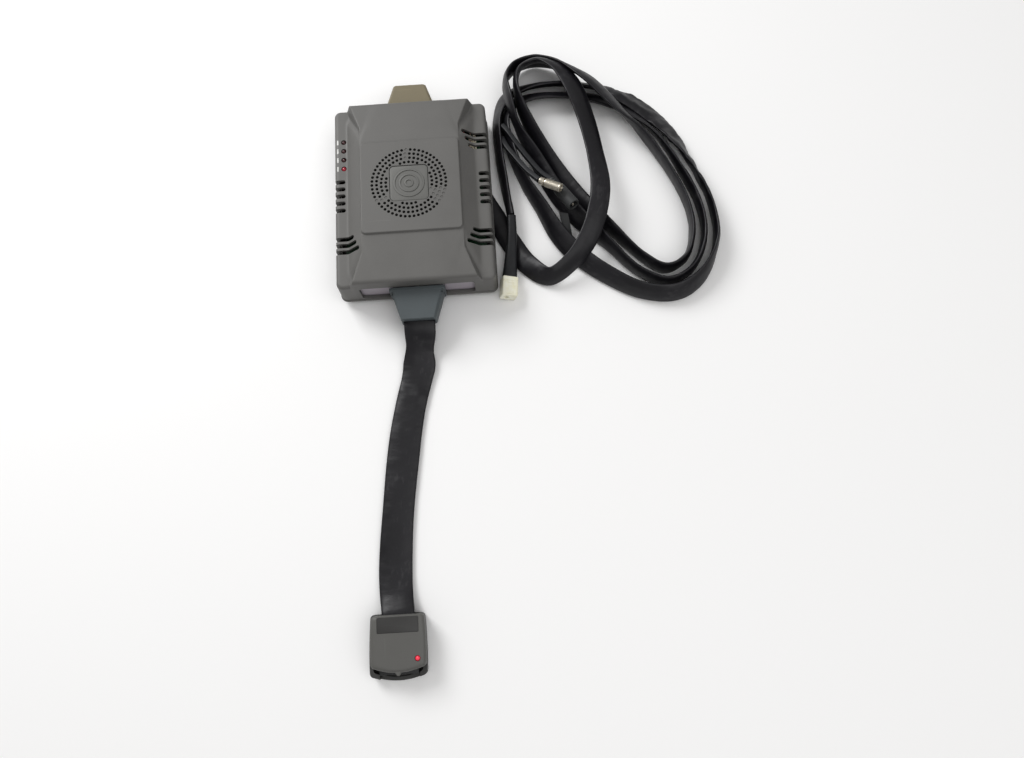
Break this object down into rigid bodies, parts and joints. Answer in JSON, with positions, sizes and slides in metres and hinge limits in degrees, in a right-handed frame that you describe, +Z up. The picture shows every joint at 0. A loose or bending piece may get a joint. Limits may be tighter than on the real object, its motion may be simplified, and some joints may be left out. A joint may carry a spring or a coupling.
{
  "type": "vented interface box with sleeved leads",
  "caption": "Vented plastic interface box with a hooded plug at each end, a flat lead to a small pod and a long flat harness ending in power connectors.",
  "frame": {"origin": "on the table, under the middle of the box; the box stands on its feet", "axes": "+X across the box to the side where the harness lies, +Y along the box from the pod lead's end to the harness's end, +Z up"},
  "size_m": [0.2474, 0.3983, 0.0356],
  "materials": {
    "box_plastic": "fine spark-eroded texture",
    "badge_plastic": "satin",
    "panel_plastic": "satin",
    "grey_hood": "satin",
    "taupe_hood": "satin",
    "pod_plastic": "fine texture",
    "black_plastic": "satin",
    "sleeve": "soft satin, creased",
    "rubber_foot": "matt",
    "ivory_nylon": "satin",
    "circuit_board": "solder mask",
    "red_epoxy": "dipped",
    "lit_lamp": "clear dome",
    "dark_lamp": "clear dome",
    "zinc_steel": "plated",
    "nickel": "plated, lightly worn",
    "heat_sink_metal": "anodised"
  },
  "bodies": {
    "box": {"top_shell": "box_plastic", "bottom_shell": "box_plastic", "grille_badge": "badge_plastic", "front_panel": "panel_plastic", "rear_panel": "panel_plastic", "front_socket": "zinc_steel", "rear_socket": "zinc_steel", "main_board": "circuit_board", "processor_chip": "black_plastic", "heat_sink": "heat_sink_metal", "memory_chip": "black_plastic", "front_capacitor": "black_plastic", "rear_capacitor": "black_plastic", "red_capacitor": "red_epoxy", "pin_header": "ivory_nylon", "crystal_can": "nickel", "status_led_1": "lit_lamp", "status_led_2": "dark_lamp", "status_led_3": "dark_lamp", "status_led_4": "dark_lamp", "case_screw_1": "zinc_steel", "case_screw_2": "zinc_steel", "case_screw_3": "zinc_steel", "case_screw_4": "zinc_steel", "board_screw_1": "zinc_steel", "board_screw_2": "zinc_steel", "board_screw_3": "zinc_steel", "board_screw_4": "zinc_steel", "foot_1": "rubber_foot", "foot_2": "rubber_foot", "foot_3": "rubber_foot", "foot_4": "rubber_foot"},
    "front_plug": {"front_plug_shell": "nickel", "front_hood_top": "grey_hood", "front_hood_bottom": "grey_hood", "pod_lead_sleeve": "sleeve", "pod_top_shell": "pod_plastic", "pod_bottom_shell": "pod_plastic", "pod_board": "circuit_board", "pod_socket": "black_plastic", "pod_label": "black_plastic", "pod_led": "lit_lamp", "pod_screw_1": "zinc_steel", "pod_screw_2": "zinc_steel"},
    "rear_plug": {"rear_plug_shell": "nickel", "rear_hood_top": "taupe_hood", "rear_hood_bottom": "taupe_hood", "harness_fold": "sleeve", "harness_sleeve": "sleeve", "white_lead": "sleeve", "white_connector": "ivory_nylon", "plug_lead": "sleeve", "jack_lead": "sleeve", "barrel_plug_sleeve": "nickel", "barrel_plug_tip": "black_plastic", "barrel_jack_relief": "black_plastic", "barrel_jack_body": "black_plastic", "barrel_jack_pin": "nickel", "cable_tag": "black_plastic"}
  },
  "joints": [
    {"name": "front_plug_pull", "type": "slide", "parent": "box", "child": "front_plug", "axis": [0, -1, 0], "range_m": [0, 0.008]},
    {"name": "rear_plug_pull", "type": "slide", "parent": "box", "child": "rear_plug", "axis": [0, 1, 0], "range_m": [0, 0.008]}
  ]
}
